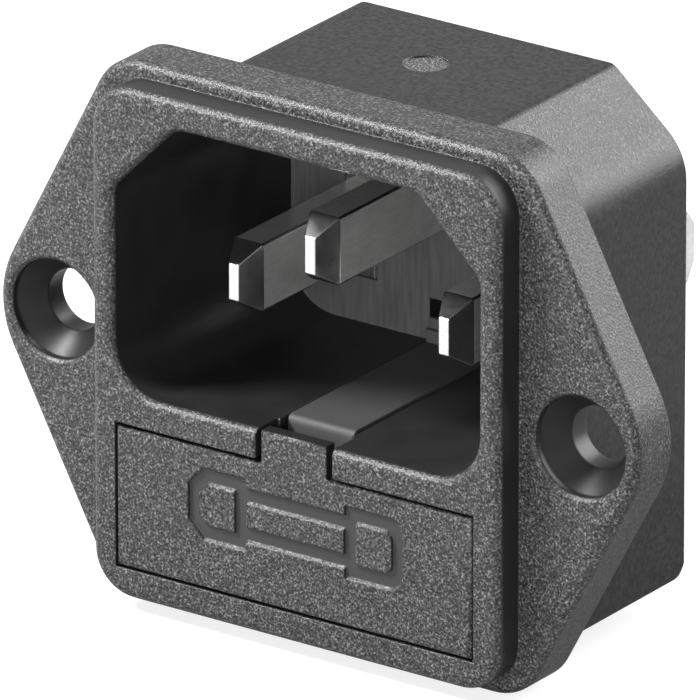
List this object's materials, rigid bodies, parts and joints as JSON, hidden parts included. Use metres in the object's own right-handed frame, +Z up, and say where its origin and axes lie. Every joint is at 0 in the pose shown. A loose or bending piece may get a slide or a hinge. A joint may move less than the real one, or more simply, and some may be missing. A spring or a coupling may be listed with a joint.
{
  "type": "power inlet socket",
  "caption": "Screw-mounted panel inlet with a recessed three-pin socket and a pull-out fuse drawer under it.",
  "frame": {"origin": "midway between the axes of the two screw holes, in the plane of the panel face (the rear face of the flange)", "axes": "+Z up, -Y out of the panel towards the mating connector, +Y into the panel along the screw holes, +X to the right as seen from the front"},
  "size_m": [0.0426, 0.0282, 0.0316],
  "materials": {
    "moulded_black": "fine spark-eroded grain on the front faces, smooth walls",
    "plated_brass": "nickel plate, satin",
    "spring_bronze": "tinned bronze strip",
    "fuse_cap": "bright nickel plate",
    "fuse_glass": "clear",
    "fuse_wire": "bare tinned wire"
  },
  "bodies": {
    "inlet": {"housing": "moulded_black", "rear_cover": "moulded_black", "line_pin": "plated_brass", "neutral_pin": "plated_brass", "earth_pin": "plated_brass", "line_terminal": "plated_brass", "terminal_rivet": "plated_brass", "left_fuse_contact": "spring_bronze", "right_fuse_contact": "spring_bronze"},
    "drawer": {"fuse_drawer": "moulded_black", "active_fuse_glass": "fuse_glass", "active_fuse_wire": "fuse_wire", "active_fuse_left_cap": "fuse_cap", "active_fuse_right_cap": "fuse_cap", "spare_fuse_glass": "fuse_glass", "spare_fuse_wire": "fuse_wire", "spare_fuse_left_cap": "fuse_cap", "spare_fuse_right_cap": "fuse_cap"}
  },
  "joints": [
    {"name": "drawer_slide", "type": "slide", "parent": "inlet", "child": "drawer", "axis": [0, -1, 0], "range_m": [0, 0.014]}
  ]
}
